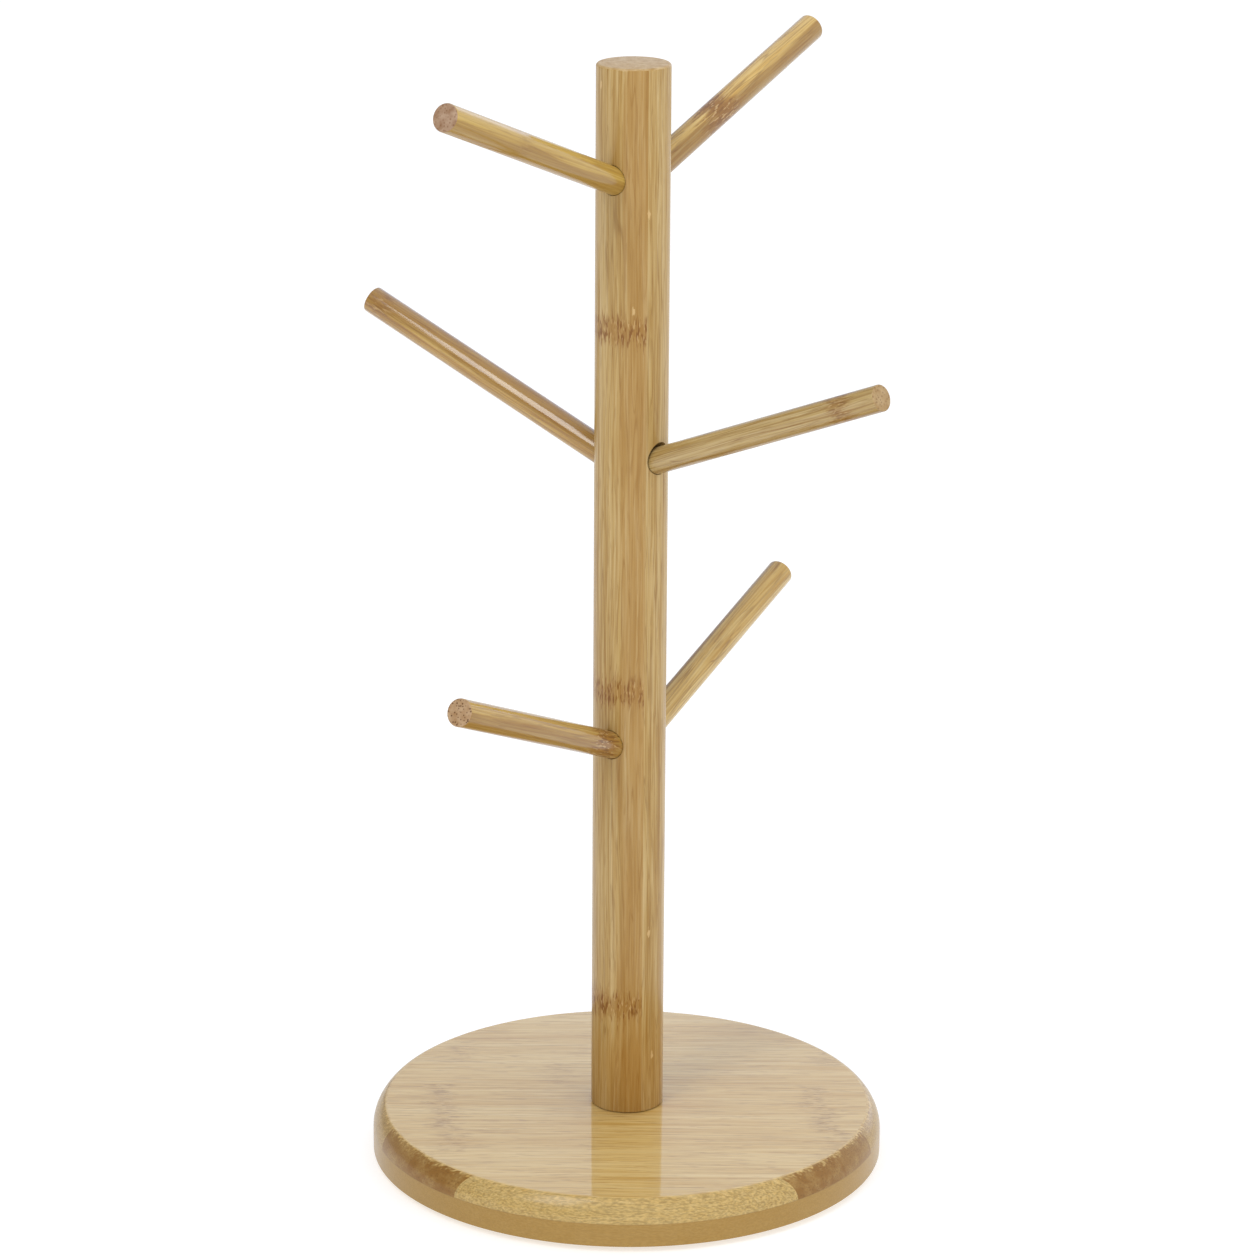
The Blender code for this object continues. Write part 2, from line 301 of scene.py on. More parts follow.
postLook = {
    "tone": "#B5965D", "palest": 0.74, "deepest": 1.38, "contrast": 0.155, "stripChange": 0.02,
    "bundle": "#86602C", "bundleDepth": 0.32, "hairDepth": 0.55, "dashDepth": 0.28,
    "knuckle": "#946729", "knucklePore": "#7B4D1A", "fleck": "#D0AF78",
    "stainShow": 0.6, "poreShow": 1.0, "fleckShow": 0.55,
    "knuckleDepth": 0.9, "knuckleHalf": 4.8,   # mm from a knuckle's middle to its feathered edge
    "knucklesAt": [40.0, 155.0, 283.0],   # mm above the foot, on the wide front strip
    "amber": "#9E712E", "amberFrom": -3.0, "amberDepth": 0.42,   # mm to the right of the post's middle
    "amberFibre": (3.0, 60.0), "amberRagged": 5.0, "amberBlend": 2.5,   # mm
    "stripStart": -15.0, "stripWidth": 20.0, "layerStart": -19.5, "layerHeight": 6.5, "seed": 3.0,
    "footDark": "#A8762C", "footDepth": 0.26, "footHeight": 30.0, "footBlend": (0.6, 1.4),
    "footFibre": (2.0, 30.0), "footRagged": 14.0,   # mm
    "chipsAt": [(8.7, 21.0), (7.2, 67.0), (0.5, 290.0), (5.5, 323.0), (-10.8, 365.5)],   # mm across, mm up
    "chipSize": 0.55, "chipTall": 3, "chipDepth": 0.8, "chipFade": (0.6, 1.2),   # mm, times as tall
    "chipFibre": (0.5, 1.5), "chipRagged": 0.5,   # mm
    "endTone": "#BB9D6C", "endDot": "#96703E", "endDotDepth": 0.35, "endDotSpacing": 1.0,
    "relief": 0.05, "coatRelief": 0.4,
    "lacquer": 0.5, "gloss": 0.2, "lacquerIOR": 1.5,
}


# uncarbonised "natural" bamboo, glued up from strips and turned round: streaky under a satin sheen
def postBamboo():
    look = postLook
    material, tree, shader = newMaterial("naturalBambooTurnedPost", lacquerValues(look))
    across, depth, along = grainSpace(tree, "Z")
    number, column = stripNumber(tree, across, depth, look)
    fibres = fibreSpace(tree, across, depth, along, number)
    colour = streakedColour(tree, fibres, number, look)
    # the wide strip darkens to amber toward its glue line
    isWide = addNode(tree, "Math", column, 0.0, 0.5, operation="COMPARE")
    ragged = look["amberRagged"]
    wobble = drawnOut(tree, fibres, *look["amberFibre"])
    wobble = addNode(tree, "MapRange", wobble, 0.0, 1.0, -ragged, ragged)
    edge = addNode(tree, "Math", across, wobble, operation="ADD")
    start, end = look["amberFrom"] - look["amberBlend"], look["amberFrom"] + look["amberBlend"]
    edge = addNode(tree, "MapRange", edge, start, end, 0.0, look["amberDepth"], **eased)
    edge = addNode(tree, "Math", edge, isWide, operation="MULTIPLY")
    colour = addNode(tree, "Mix", edge, A_Color=colour, B_Color=linear(look["amber"]), **stained)
    # darker and more amber towards its foot, where it stands on the board
    ragged = look["footRagged"]
    wobble = drawnOut(tree, fibres, *look["footFibre"])
    wobble = addNode(tree, "MapRange", wobble, 0.0, 1.0, -ragged, ragged)
    foot = addNode(tree, "Math", along, wobble, operation="ADD")
    start, end = (look["footHeight"] * share for share in look["footBlend"])
    foot = addNode(tree, "MapRange", foot, start, end, look["footDepth"], 0.0, **eased)
    colour = addNode(tree, "Mix", foot, A_Color=colour, B_Color=linear(look["footDark"]), **stained)
    mask = 0.0
    for middle in look["knucklesAt"]:
        one = knuckle(tree, fibres, along, middle, look["knuckleHalf"])
        mask = addNode(tree, "Math", mask, one, operation="MAXIMUM")
    mask = addNode(tree, "Math", mask, isWide, operation="MULTIPLY")
    colour = stainKnuckle(tree, colour, fibres, mask, look)
    colour = chippedFibres(tree, colour, (across, depth, along), fibres, look)
    tree.links.new(colour, shader.inputs["Base Color"])
    fibreRelief(tree, shader, fibres, look)
    return material


# short pale chips, taller than wide, where the cutter lifted a fibre by the glue line
def chippedFibres(tree, colour, place, fibres, look):
    flat = addNode(tree, "CombineXYZ", *place)
    flat = addNode(tree, "VectorMath", flat, (1, 1, 1 / look["chipTall"]), operation="MULTIPLY")
    ragged = drawnOut(tree, fibres, *look["chipFibre"])
    ragged = addNode(tree, "MapRange", ragged, 0.0, 1.0, -look["chipRagged"], look["chipRagged"])
    start, end = (look["chipSize"] * share for share in look["chipFade"])
    for across, up in look["chipsAt"]:
        front = -math.sqrt((post["radius"] / mm) ** 2 - across ** 2)
        middle = (across, front, up / look["chipTall"])
        chip = addNode(tree, "VectorMath", flat, middle, operation="DISTANCE", out=1)
        chip = addNode(tree, "Math", chip, ragged, operation="ADD")
        chip = addNode(tree, "MapRange", chip, start, end, look["chipDepth"], 0.0, **eased)
        colour = addNode(tree, "Mix", chip, A_Color=colour, B_Color=linear(look["fleck"]), **stained)
    return colour


boardLook = {
    "tone": "#CDAE6E", "palest": 0.80, "deepest": 1.36, "contrast": 0.17, "stripChange": 0.05,
    "bundle": "#9C7842", "bundleDepth": 0.26, "hairDepth": 0.40, "dashDepth": 0.42,
    "knuckle": "#A67E3A", "knucklePore": "#835A1C", "fleck": "#D8C08E", "stainShow": 0.35, "poreShow": 0.9,
    "fleckShow": 0.5, "knuckleDepth": 0.7, "knuckleHalf": 5.5,
    "stripStart": -88.3, "stripWidth": 20.3, "layerStart": 0.0, "layerHeight": 8.25, "seed": 7.0,
    # a value for each strip, from the front one to the back one
    "knuckleAt": [66.0, 68.0, 74.0, 70.0, 67.0, -24.0, -60.0, 5.0, 60.0],   # mm along the strip
    "knuckleShows": [0.0, 0.25, 0.55, 0.75, 0.75, 0.35, 0.45, 0.2, 0.0],
    "knuckleEvery": 134.0,   # mm
    "relief": 0.03, "coatRelief": 0.02,
    "lacquer": 1.0, "gloss": 0.04, "lacquerIOR": 1.5,
}
edgeLook = {
    "edgeTone": "#AB8F54", "edgeShow": 0.65, "edgeFade": (84.4, 87.2),   # mm from the centre
    "raggedFibre": (1.0, 5.0), "raggedFade": (0.3, 0.7), "ragged": 1.4,   # mm
    "crossFade": (0.10, 0.70),   # how far round to the strips' ends the cross-cut look builds up
    "woolFibre": (0.5, 1.8), "woolFade": (0.32, 0.68), "woolShade": (0.78, 1.18),   # mm
    "blotchFibre": (4.0, 9.0), "blotchFade": (0.3, 0.6), "blotchLeast": 0.7,   # mm
    "stains": [0.0, 0.95, 0.80, 0.35, 0.30, 0.45, 0.40, 0.50, 0.10],   # one for each strip, front to back
    "stain": "#83591C", "dot": "#6C4A1C", "dotSpacing": 0.85, "dotDepth": 0.42,
    "lowerTone": "#9B7633", "lowerShow": 0.74,
    "plyLine": "#6E4E26", "plyLineWidth": 0.3, "plyLineDepth": 0.3, "plyBlend": 0.1,   # mm
    "relief": 0.05, "coatRelief": 0.3,
    "lacquer": 0.6, "gloss": 0.2, "lacquerIOR": 1.5,
}


# brown knuckle marks, at a place of its own on each strip of the board
def boardKnuckles(tree, fibres, along, column, look):
    middle = perStrip(tree, column, look["knuckleAt"], -90.0, 90.0)
    turn = addNode(tree, "Math", along, middle, operation="SUBTRACT")
    half = look["knuckleEvery"] / 2
    turn = addNode(tree, "Math", turn, half, -half, operation="WRAP")
    mask = knuckle(tree, fibres, turn, 0.0, look["knuckleHalf"])
    return addNode(tree, "Math", mask, perStrip(tree, column, look["knuckleShows"]), operation="MULTIPLY")


# the strips, fibres and knuckles that the board's faces and its edge share
def boardGrain(tree, look):
    across, depth, along = grainSpace(tree, "X")
    number, column = stripNumber(tree, across, depth, look)
    fibres = fibreSpace(tree, across, depth, along, number)
    colour = streakedColour(tree, fibres, number, look)
    colour = stainKnuckle(tree, colour, fibres, boardKnuckles(tree, fibres, along, column, look), look)
    return {"across": across, "depth": depth, "along": along, "column": column}, fibres, colour


# natural bamboo ply, sanded flat and sealed in glossy lacquer: fine streaks under a glassy face
def boardBamboo():
    material, tree, shader = newMaterial("naturalBambooPlyFace", lacquerValues(boardLook))
    _, fibres, colour = boardGrain(tree, boardLook)
    tree.links.new(colour, shader.inputs["Base Color"])
    fibreRelief(tree, shader, fibres, boardLook)
    return material


# its routed edge, satin: cut fibres drink in lacquer, so it darkens and dots where it crosses them
def routedEdgeBamboo():
    look = edgeLook
    material, tree, shader = newMaterial("naturalBambooRoutedEdge", lacquerValues(look))
    place, fibres, colour = boardGrain(tree, boardLook)
    flat = addNode(tree, "CombineXYZ", place["across"], place["along"])
    radius = addNode(tree, "VectorMath", flat, operation="LENGTH", out=1)
    ragged = drawnOut(tree, fibres, *look["raggedFibre"])
    ragged = addNode(tree, "MapRange", ragged, *look["raggedFade"], -look["ragged"], look["ragged"])
    fade = addNode(tree, "Math", radius, ragged, operation="ADD")
    fade = addNode(tree, "MapRange", fade, *look["edgeFade"], **eased)
    glueLine, blend = boardLook["layerHeight"], look["plyBlend"]
    isUpper = addNode(tree, "MapRange", place["depth"], glueLine - blend, glueLine + blend)
    crossCut = addNode(tree, "Math", place["along"], operation="ABSOLUTE")
    crossCut = addNode(tree, "Math", crossCut, radius, operation="DIVIDE")
    crossCut = addNode(tree, "MapRange", crossCut, *look["crossFade"], **eased)
    crossCut = addNode(tree, "Math", crossCut, fade, operation="MULTIPLY")
    crossCut = addNode(tree, "Math", crossCut, isUpper, operation="MULTIPLY")
    share = addNode(tree, "Math", fade, look["edgeShow"], operation="MULTIPLY")
    colour = addNode(tree, "Mix", share, A_Color=colour, B_Color=linear(look["edgeTone"]), **stained)
    # woolly grain where the cutter tore the fibres
    wool = drawnOut(tree, fibres, *look["woolFibre"], detail=3.0)
    wool = addNode(tree, "MapRange", wool, *look["woolFade"], *look["woolShade"], **eased)
    colour = addNode(tree, "VectorMath", colour, Scale=wool, operation="SCALE")
    blotch = drawnOut(tree, fibres, *look["blotchFibre"], detail=2.0)
    blotch = addNode(tree, "MapRange", blotch, *look["blotchFade"], look["blotchLeast"], 1.0, **eased)
    stain = perStrip(tree, place["column"], look["stains"])
    stain = addNode(tree, "Math", stain, crossCut, operation="MULTIPLY")
    stain = addNode(tree, "Math", stain, blotch, operation="MULTIPLY")
    colour = addNode(tree, "Mix", stain, A_Color=colour, B_Color=linear(look["stain"]), **stained)
    dots = bundles(tree, fibres, look["dotSpacing"], look["dotDepth"])
    dots = addNode(tree, "Math", dots, crossCut, operation="MULTIPLY")
    colour = addNode(tree, "Mix", dots, A_Color=colour, B_Color=linear(look["dot"]), **stained)
    # the lower ply is plainer and even in tone, below a fine glue line
    isLower = addNode(tree, "MapRange", isUpper, 0.0, 1.0, look["lowerShow"], 0.0)
    colour = addNode(tree, "Mix", isLower, A_Color=colour, B_Color=linear(look["lowerTone"]), **stained)
    line = addNode(tree, "Math", place["depth"], glueLine, operation="SUBTRACT")
    line = addNode(tree, "Math", line, operation="ABSOLUTE")
    line = addNode(tree, "MapRange", line, 0.0, look["plyLineWidth"], look["plyLineDepth"], 0.0)
    colour = addNode(tree, "Mix", line, A_Color=colour, B_Color=linear(look["plyLine"]), **stained)
    tree.links.new(colour, shader.inputs["Base Color"])
    fibreRelief(tree, shader, fibres, look)
    return material


# mm and degrees: where each rod's knuckle is, and which side of it is darker: the cane's dark skin, and on
# the top-left, middle-right and bottom-left rods, whose darker side faces down, also painted shade
armLooks = {
    "arm_top_left": {"seed": 11.0, "tone": "#BC9946", "knuckleAt": 70.0, "knuckleDepth": 0.15,
                     "contrast": 0.26, "hairDepth": 0.3, "bundleDepth": 0.2, "dashDepth": 0.15,
                     "skinAndShadeSide": -70.0, "skinAndShadeFrom": 2.0, "skinAndShadeDepth": 0.5, "endTone": "#A2846A"},
    "arm_top_right": {"seed": 12.0, "tone": "#CAA85E", "knuckleAt": 46.0, "knuckleDepth": 1.0,
                      "knuckleHalf": 9.0, "stainShow": 0.95, "poreShow": 0.5,
                      "skinAndShadeSide": 200.0, "skinAndShadeFrom": 2.2, "skinAndShadeDepth": 0.6},
    "arm_middle_left": {"seed": 13.0, "tone": "#A98136", "knuckleAt": 106.0, "knuckleDepth": 0.5,
                        "skinAndShadeSide": 90.0, "skinAndShadeFrom": 0.6, "skinAndShadeDepth": 0.42, "gloss": 0.14,
                        "lacquer": 1.0, "lacquerIOR": 1.68},
    "arm_middle_right": {"seed": 14.0, "tone": "#B39862", "knuckleAt": 94.0, "knuckleDepth": 0.7,
                         "skinAndShadeSide": -90.0, "skinAndShadeFrom": 2.6, "skinAndShadeDepth": 0.4, "endTone": "#AE9064"},
    "arm_bottom_left": {"seed": 15.0, "tone": "#B38E42", "knuckleAt": 20.0, "knuckleDepth": 1.0,
                        "knuckleHalf": 9.0, "stainShow": 0.85,
                        "skinAndShadeSide": -60.0, "skinAndShadeFrom": 1.6, "skinAndShadeDepth": 0.5,
                        "endTone": "#AD8D69", "endDot": "#5F4026", "endDotDepth": 1.0, "endDotSpacing": 0.95},
    "arm_bottom_right": {"seed": 16.0, "tone": "#C1A05A", "knuckleAt": 60.0, "knuckleDepth": 0.12,
                         "skinAndShadeSide": 20.0, "skinAndShadeFrom": 2.2, "skinAndShadeDepth": 0.55},
}
armLook = {
    "palest": 0.74, "deepest": 1.42, "contrast": 0.15, "stripChange": 0.02,
    "bundle": "#7E5826", "bundleDepth": 0.34, "hairDepth": 0.62, "dashDepth": 0.30,
    "knuckle": "#8C5F22", "knucklePore": "#6C4210", "fleck": "#D0B07C",
    "stainShow": 0.7, "poreShow": 0.8, "fleckShow": 0.6, "knuckleHalf": 4.6,
    "skinAndShade": "#7C531A", "skinAndShadeBlend": (-0.5, 0.9), "skinAndShadeFibre": (1.2, 30.0), "skinAndShadeRagged": 1.2,   # mm
    "stripStart": -30.0, "stripWidth": 60.0, "layerStart": -30.0, "layerHeight": 60.0,
    "endTone": "#B08C68", "endDot": "#74502F", "endDotDepth": 0.55, "endDotSpacing": 1.1,
    "relief": 0.06, "coatRelief": 0.9,
    "lacquer": 0.8, "gloss": 0.12, "lacquerIOR": 1.6,
}


# one bamboo rod, turned from a single cane wall: streaky, darker on one side where the skin was, with painted
# shade where that side faces down, satin lacquer
def armBamboo(name, look):
    material, tree, shader = newMaterial("naturalBambooRod_" + name, lacquerValues(look))
    across, depth, along = grainSpace(tree, "Z")
    number, _ = stripNumber(tree, across, depth, look)
    fibres = fibreSpace(tree, across, depth, along, number)
    colour = streakedColour(tree, fibres, number, look)
    # darkens one side of the rod: the cane's dark skin, and painted shade on the underside where that side
    # faces down
    angle = math.radians(look["skinAndShadeSide"])
    toSkinAndShade = addNode(tree, "Math", across, math.cos(angle), operation="MULTIPLY")
    toSkinAndShade = addNode(tree, "Math", depth, math.sin(angle), toSkinAndShade, operation="MULTIPLY_ADD")
    ragged = drawnOut(tree, fibres, *look["skinAndShadeFibre"], detail=2.0)
    ragged = addNode(tree, "MapRange", ragged, 0.0, 1.0, -look["skinAndShadeRagged"], look["skinAndShadeRagged"])
    toSkinAndShade = addNode(tree, "Math", toSkinAndShade, ragged, operation="ADD")
    start, end = (look["skinAndShadeFrom"] + step for step in look["skinAndShadeBlend"])
    skinAndShade = addNode(tree, "MapRange", toSkinAndShade, start, end, 0.0, look["skinAndShadeDepth"], **eased)
    colour = addNode(tree, "Mix", skinAndShade, A_Color=colour, B_Color=linear(look["skinAndShade"]), **stained)
    mask = knuckle(tree, fibres, along, look["knuckleAt"], look["knuckleHalf"])
    colour = stainKnuckle(tree, colour, fibres, mask, look)
    tree.links.new(colour, shader.inputs["Base Color"])
    fibreRelief(tree, shader, fibres, look)
    return material


hardware = {
    "zincDark": "#A7A8A6", "zincPale": "#C9CACB", "zincRoughness": (0.25, 0.42),
    "brassDark": "#B8924A", "brassPale": "#D9B76C", "brassRoughness": 0.3,
    "padDark": "#CFCEC8", "padPale": "#E2E1DB", "padRoughness": 0.55, "padIOR": 1.5,
    "padRelief": 0.03 * mm, "padBump": 0.3,
    "zincBlotches": 900.0, "brassBlotches": 700.0, "padClouds": 450.0, "padGrain": 4000.0,   # to a metre
}


# zinc-plated steel: pale grey metal with a faint blotchy passivation
def zincSteel():
    material, tree, shader = newMaterial("zincPlatedSteel", {"Metallic": 1.0})
    place = addNode(tree, "TexCoord", out="Object")
    blotch = addNode(tree, "TexNoise", place, Scale=hardware["zincBlotches"], Detail=3.0)
    ramp = addNode(tree, "ValToRGB", blotch)
    ramp.node.color_ramp.elements[0].color = linear(hardware["zincDark"])
    ramp.node.color_ramp.elements[1].color = linear(hardware["zincPale"])
    tree.links.new(ramp, shader.inputs["Base Color"])
    roughness = addNode(tree, "MapRange", blotch, 0.0, 1.0, *hardware["zincRoughness"])
    tree.links.new(roughness, shader.inputs["Roughness"])
    return material


# turned brass: warm yellow metal, slightly dulled
def turnedBrass():
    metal = {"Metallic": 1.0, "Roughness": hardware["brassRoughness"]}
    material, tree, shader = newMaterial("turnedBrass", metal)
    place = addNode(tree, "TexCoord", out="Object")
    blotch = addNode(tree, "TexNoise", place, Scale=hardware["brassBlotches"], Detail=2.0)
    ramp = addNode(tree, "ValToRGB", blotch)
    ramp.node.color_ramp.elements[0].color = linear(hardware["brassDark"])
    ramp.node.color_ramp.elements[1].color = linear(hardware["brassPale"])
    tree.links.new(ramp, shader.inputs["Base Color"])
    return material


# cast polyurethane: cloudy and soft, with a fine matt skin
def castRubber():
    soft = {"Roughness": hardware["padRoughness"], "IOR": hardware["padIOR"]}
    material, tree, shader = newMaterial("castPolyurethane", soft)
    place = addNode(tree, "TexCoord", out="Object")
    cloud = addNode(tree, "TexNoise", place, Scale=hardware["padClouds"], Detail=3.0)
    ramp = addNode(tree, "ValToRGB", cloud)
    ramp.node.color_ramp.elements[0].color = linear(hardware["padDark"])
    ramp.node.color_ramp.elements[1].color = linear(hardware["padPale"])
    tree.links.new(ramp, shader.inputs["Base Color"])
    grain = addNode(tree, "TexNoise", place, Scale=hardware["padGrain"], Detail=2.0)
    relief, strength = hardware["padRelief"], hardware["padBump"]
    bump = addNode(tree, "Bump", Strength=strength, Distance=relief, Height=grain)
    tree.links.new(bump, shader.inputs["Normal"])
    return material


weldReach = 0.002 * mm   # points closer than this become one
sharpFrom = math.radians(35)   # an edge that turns more than this stays sharp


# a turned solid from (radius, height) points; an open profile starts and ends on the axis
def turned(name, profile, sides, material, closed=False):
    shape = bmesh.new()
    points = [shape.verts.new((r, 0.0, z)) for r, z in profile]
    pairs = list(zip(points, points[1:])) + ([(points[-1], points[0])] if closed else [])
    edges = [shape.edges.new(pair) for pair in pairs]
    outline = points + edges
    bmesh.ops.spin(shape, geom=outline, axis=(0, 0, 1), cent=(0, 0, 0), angle=2 * math.pi, steps=sides)
    bmesh.ops.remove_doubles(shape, verts=shape.verts, dist=weldReach)
    bmesh.ops.recalc_face_normals(shape, faces=shape.faces)
    mesh = bpy.data.meshes.new(name)
    shape.to_mesh(mesh)
    shape.free()
    mesh.shade_smooth()
    mesh.set_sharp_from_angle(angle=sharpFrom)
    mesh.materials.append(material)
    piece = bpy.data.objects.new(name, mesh)
    bpy.context.scene.collection.objects.link(piece)
    return piece


# points round a quarter of an eased corner, from one angle above the horizontal to another
def quarterRound(centreR, centreZ, radius, start, end, steps=6):
    angles = [math.radians(start + (end - start) * step / steps) for step in range(steps + 1)]
    return [(centreR + radius * math.cos(a), centreZ + radius * math.sin(a)) for a in angles]


# gives the faces that pass a test on their centre and normal a finish of their own
def cover(piece, material, test):
    piece.data.materials.append(material)
    index = len(piece.data.materials) - 1
    for face in piece.data.polygons:
        if test(face.center, face.normal):
            face.material_index = index


def standsFor(piece, node):
    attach(piece, "root")
    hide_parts(node)


# root point, direction and length of a rod, from the corners of its CAD solid
def rodAxis(node):
    corners = np.array([corner.co for corner in cadNodes[node].data.vertices])
    middle = corners.mean(axis=0)
    direction = np.linalg.svd(corners - middle, full_matrices=False)[2][0]
    direction *= np.sign(direction[2])
    reach = (corners - middle) @ direction
    away = corners - middle - np.outer(reach, direction)
    root = Vector(middle + direction * reach.min())
    return root, Vector(direction), reach.max() - reach.min(), np.linalg.norm(away, axis=1).max()


# turns a piece's own Z along the rod, keeping its X level
def alongRod(root, direction):
    side = Vector((-direction.y, direction.x, 0)).normalized()
    rise = direction.cross(side)
    turn = Matrix((side, rise, direction)).transposed().to_4x4()
    return Matrix.Translation(root) @ turn


print("stage: board")
boardLow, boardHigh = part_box("base_board")
board = {
    "radius": (boardHigh[0] - boardLow[0]) / 2,
    "thickness": boardHigh[2] - boardLow[2],
    "crownHeight": 8.6 * mm, "crownInset": 4.2 * mm, "brow": 2.0 * mm, "footEase": 0.5 * mm,
    "headRoom": 6.1 * mm, "recess": 2.8 * mm, "holeRadius": 3.2 * mm,
    "sides": 256, "browSteps": 8, "crownSteps": 14,
    "flatFrom": 0.93,   # faces that look up or down less than this take the routed edge's finish
}


def makeBoard():
    size = board
    top, brow, foot = size["thickness"], size["brow"], size["footEase"]
    # the routed crown, and the eased brow where it meets the top face
    crown = (size["crownHeight"] ** 2 + size["crownInset"] ** 2) / (2 * size["crownInset"])
    browRise = size["crownHeight"] - brow
    browReach = math.sqrt((crown - brow) ** 2 - browRise ** 2)
    meet = math.degrees(math.atan2(browRise, browReach))
    axis = size["radius"] - crown
    profile = [(size["holeRadius"], top)]
    profile += quarterRound(axis + browReach, top - brow, brow, 90, meet, steps=size["browSteps"])
    profile += quarterRound(axis, top - size["crownHeight"], crown, meet, 0, steps=size["crownSteps"])[1:]
    profile += quarterRound(size["radius"] - foot, foot, foot, 0, -90)
    # the screw's countersink, below its hole
    profile += [(size["headRoom"], 0.0), (size["headRoom"], size["recess"])]
    profile.append((size["holeRadius"], size["recess"] + size["headRoom"] - size["holeRadius"]))
    piece = turned("boardBody", profile, size["sides"], boardBamboo(), closed=True)
    cover(piece, routedEdgeBamboo(), lambda centre, normal: abs(normal.z) < size["flatFrom"])
    piece.location.z = boardLow[2]
    standsFor(piece, "base_board")


makeBoard()

print("stage: post and arms")
postLow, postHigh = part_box("post")
post = {
    "radius": (postHigh[0] - postLow[0]) / 2,
    "height": postHigh[2] - postLow[2],
    "ease": 1.0 * mm, "footEase": 0.15 * mm, "sides": 160,
    "socketGap": 0.15 * mm, "socketSides": 64,
    "drillPast": 8.0 * mm,   # how far the drill reaches out of the post
    "looseArm": "arm_middle_right", "looseExtra": 0.55 * mm,   # its socket shows a dark gap above it
    "boreRadius": 4.8 * mm, "boreDepth": 12.3 * mm,   # for the insert
    "flangeRadius": 6.5 * mm, "flangeDepth": 1.3 * mm,
}


def makePost():
    size = post
    ease, foot, bore, flange = size["ease"], size["footEase"], size["boreRadius"], size["flangeRadius"]
    profile = [(0.0, size["height"])]
    profile += quarterRound(size["radius"] - ease, size["height"] - ease, ease, 90, 0)
    profile += quarterRound(size["radius"] - foot, foot, foot, 0, -90, steps=3)
    profile += [(flange, 0.0), (flange, size["flangeDepth"]), (bore, size["flangeDepth"])]
    profile += [(bore, size["boreDepth"]), (0.0, size["boreDepth"])]
    piece = turned("postBody", profile, size["sides"], postBamboo())
    piece.location.z = postLow[2]
    for name in armLooks:
        root, direction, _, radius = rodAxis(name)
        loose = size["looseExtra"] if name == size["looseArm"] else 0.0
        wide = radius + size["socketGap"] + loose
        start, end = -size["socketGap"], size["radius"] + size["drillPast"]
        rod = [(0.0, end), (wide, end), (wide, start), (0.0, start)]
        drill = turned("drill", rod, size["socketSides"], None)
        drill.matrix_world = alongRod(root, direction)
        drill.data.transform(Matrix.Translation((0.0, loose, 0.0)))
        cut = piece.modifiers.new("socket", "BOOLEAN")
        cut.operation = "DIFFERENCE"
        cut.object = drill
        bpy.context.view_layer.update()
        graph = bpy.context.evaluated_depsgraph_get()
        mesh = bpy.data.meshes.new_from_object(piece.evaluated_get(graph))
        piece.modifiers.clear()
        piece.data = mesh
        bpy.data.objects.remove(drill)
    piece.data.set_sharp_from_angle(angle=sharpFrom)
    rim = size["height"] - ease / 2
    cover(piece, cutEndBamboo("post", postLook), lambda centre, normal: centre.z > rim)
    standsFor(piece, "post")


arm = {"ease": 0.6 * mm, "sides": 72}


def makeArm(name):
    root, direction, length, radius = rodAxis(name)
    ease = arm["ease"]
    profile = [(0.0, length)]
    profile += quarterRound(radius - ease, length - ease, ease, 90, 0)
    profile += quarterRound(radius - ease, ease, ease, 0, -90)
    profile.append((0.0, 0.0))
    look = {**armLook, **armLooks[name]}
    piece = turned(name + "_rod", profile, arm["sides"], armBamboo(name, look))
    rim = length - ease / 2
    cover(piece, cutEndBamboo(name, look), lambda centre, normal: centre.z > rim)
    piece.matrix_world = alongRod(root, direction)
    standsFor(piece, name)


makePost()
for name in armLooks:
    makeArm(name)

print("stage: hardware and pads")
finishes = {"screw_steel": zincSteel(), "insert_brass": turnedBrass(), "pad_rubber": castRubber()}
for node, slot in slotOf.items():
    if slot in finishes:
        cadNodes[node].data.materials.clear()
        cadNodes[node].data.materials.append(finishes[slot])

print("stage: studio")
studio = {
    "skyRight": 1.16, "skyLeft": 0.50, "skyOverhead": 0.98, "skyBehind": 1.12, "wallBehind": 2.5,
    # where each of them blends in: rightward along X, upward along Z, backward along Y
    "rightFade": (-0.5, 0.1), "overheadFade": (0.35, 0.9), "behindFade": (0.80, 0.93),
    "wallFadeX": (0.28, 0.40), "wallFadeY": (0.68, 0.80),
    "lampLight": "#FFFFFF", "dayLight": "#DCE8FF", "dayFade": (0.2, 0.8),   # cooler from behind
    "keyPower": 15.5, "keyWide": 0.7, "keyTall": 1.4,
    "keyAt": (-0.95, -1.25, 1.85), "keyAim": (0.0, 0.0, 0.2),
    "floorGlow": 0.58, "floorSize": 60.0, "floorDrop": 0.2 * mm,
    "floorDark": "#BEBEBE", "floorPale": "#C4C4C4", "floorClouds": 40.0,   # to a metre
}
camera = {
    "distance": 1.6011, "height": 0.6878,   # m
    "pitch": 17.175, "roll": 0.386,   # degrees
    "lens": 138.86, "sensor": 36.0,   # mm
}


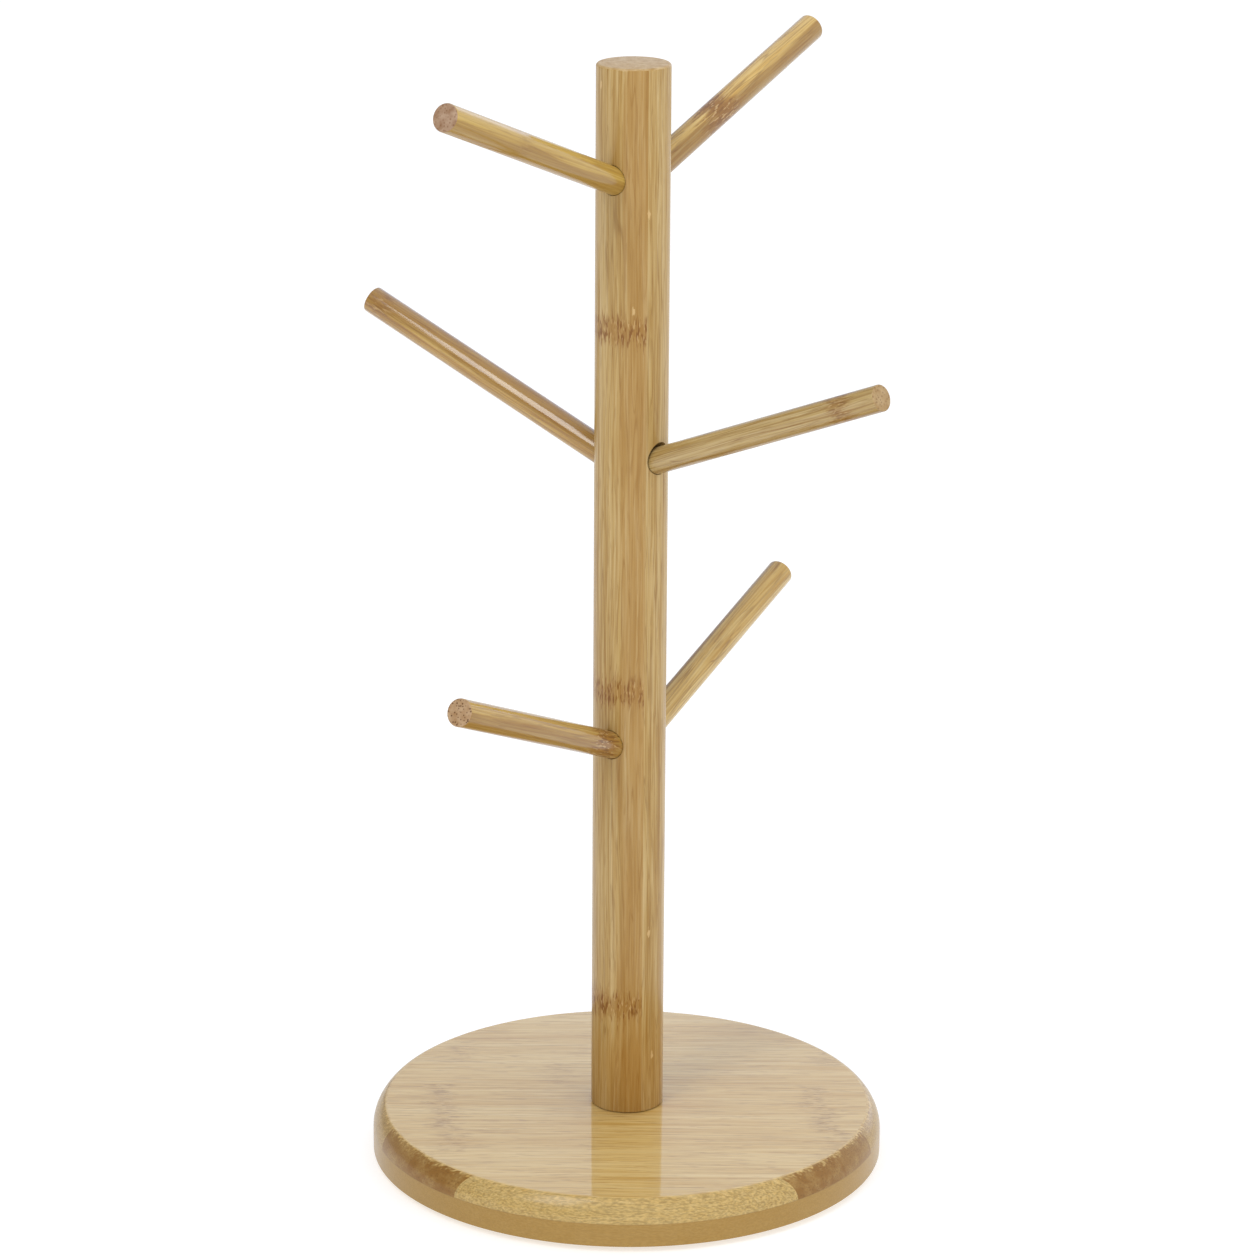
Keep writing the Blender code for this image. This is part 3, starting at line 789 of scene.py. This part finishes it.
# opal acrylic of a light table: white, matt and glowing faintly, so that shadows stay thin
def makeFloor():
    glow = {"Roughness": 0.9, "Specular IOR Level": 0.1, "Emission Strength": studio["floorGlow"]}
    material, tree, shader = newMaterial("opalAcrylicTable", glow)
    shader.inputs["Emission Color"].default_value = linear(studio["lampLight"])
    place = addNode(tree, "TexCoord", out="Object")
    cloud = addNode(tree, "TexNoise", place, Scale=studio["floorClouds"], Detail=2.0)
    ramp = addNode(tree, "ValToRGB", cloud)
    ramp.node.color_ramp.elements[0].color = linear(studio["floorDark"])
    ramp.node.color_ramp.elements[1].color = linear(studio["floorPale"])
    tree.links.new(ramp, shader.inputs["Base Color"])
    shape = bmesh.new()
    bmesh.ops.create_grid(shape, x_segments=1, y_segments=1, size=studio["floorSize"] / 2)
    mesh = bpy.data.meshes.new("floor")
    shape.to_mesh(mesh)
    shape.free()
    mesh.materials.append(material)
    floor = bpy.data.objects.new("floor", mesh)
    bpy.context.scene.collection.objects.link(floor)
    floor.location.z = -studio["floorDrop"]


# a white room, dimmer on the left, with a bright wall behind on the right and one softbox high
# on the left in front
def makeLights():
    world = bpy.data.worlds.new("whiteRoom")
    bpy.context.scene.world = world
    world.use_nodes = True
    tree = world.node_tree
    toward = addNode(tree, "TexCoord", out="Generated")
    x, y, z = addNode(tree, "SeparateXYZ", toward).node.outputs
    left, right = studio["skyLeft"], studio["skyRight"]
    level = addNode(tree, "MapRange", x, *studio["rightFade"], left, right, **eased)
    overhead = addNode(tree, "MapRange", z, *studio["overheadFade"], 1.0, studio["skyOverhead"], **eased)
    level = addNode(tree, "Math", level, overhead, operation="MULTIPLY")
    behind = addNode(tree, "MapRange", y, *studio["behindFade"], 1.0, studio["skyBehind"], **eased)
    level = addNode(tree, "Math", level, behind, operation="MULTIPLY")
    wall = addNode(tree, "MapRange", x, *studio["wallFadeX"], **eased)
    wallDepth = addNode(tree, "MapRange", y, *studio["wallFadeY"], **eased)
    wall = addNode(tree, "Math", wall, wallDepth, operation="MULTIPLY")
    level = addNode(tree, "Mix", wall, A_Float=level, B_Float=studio["wallBehind"])
    cool = addNode(tree, "MapRange", y, *studio["dayFade"], **eased)
    lamp, day = linear(studio["lampLight"]), linear(studio["dayLight"])
    colour = addNode(tree, "Mix", cool, A_Color=lamp, B_Color=day, **stained)
    background = tree.nodes["Background"]
    tree.links.new(colour, background.inputs["Color"])
    tree.links.new(level, background.inputs["Strength"])
    softbox = bpy.data.lights.new("softbox", "AREA")
    softbox.shape = "RECTANGLE"
    softbox.size = studio["keyWide"]
    softbox.size_y = studio["keyTall"]
    softbox.energy = studio["keyPower"]
    key = bpy.data.objects.new("softbox", softbox)
    bpy.context.scene.collection.objects.link(key)
    key.location = studio["keyAt"]
    aim = Vector(studio["keyAim"]) - key.location
    key.rotation_euler = aim.to_track_quat("-Z", "Y").to_euler()


def makeCamera():
    lens = bpy.data.cameras.new("camera")
    lens.lens = camera["lens"]
    lens.sensor_width = camera["sensor"]
    view = bpy.data.objects.new("camera", lens)
    bpy.context.scene.collection.objects.link(view)
    tilt = Matrix.Rotation(math.radians(90 - camera["pitch"]), 4, "X")
    roll = Matrix.Rotation(math.radians(camera["roll"]), 4, "Z")
    place = Matrix.Translation((0.0, -camera["distance"], camera["height"]))
    view.matrix_world = place @ tilt @ roll
    bpy.context.scene.camera = view


makeFloor()
makeLights()
makeCamera()
bpy.context.scene.view_settings.view_transform = "Standard"
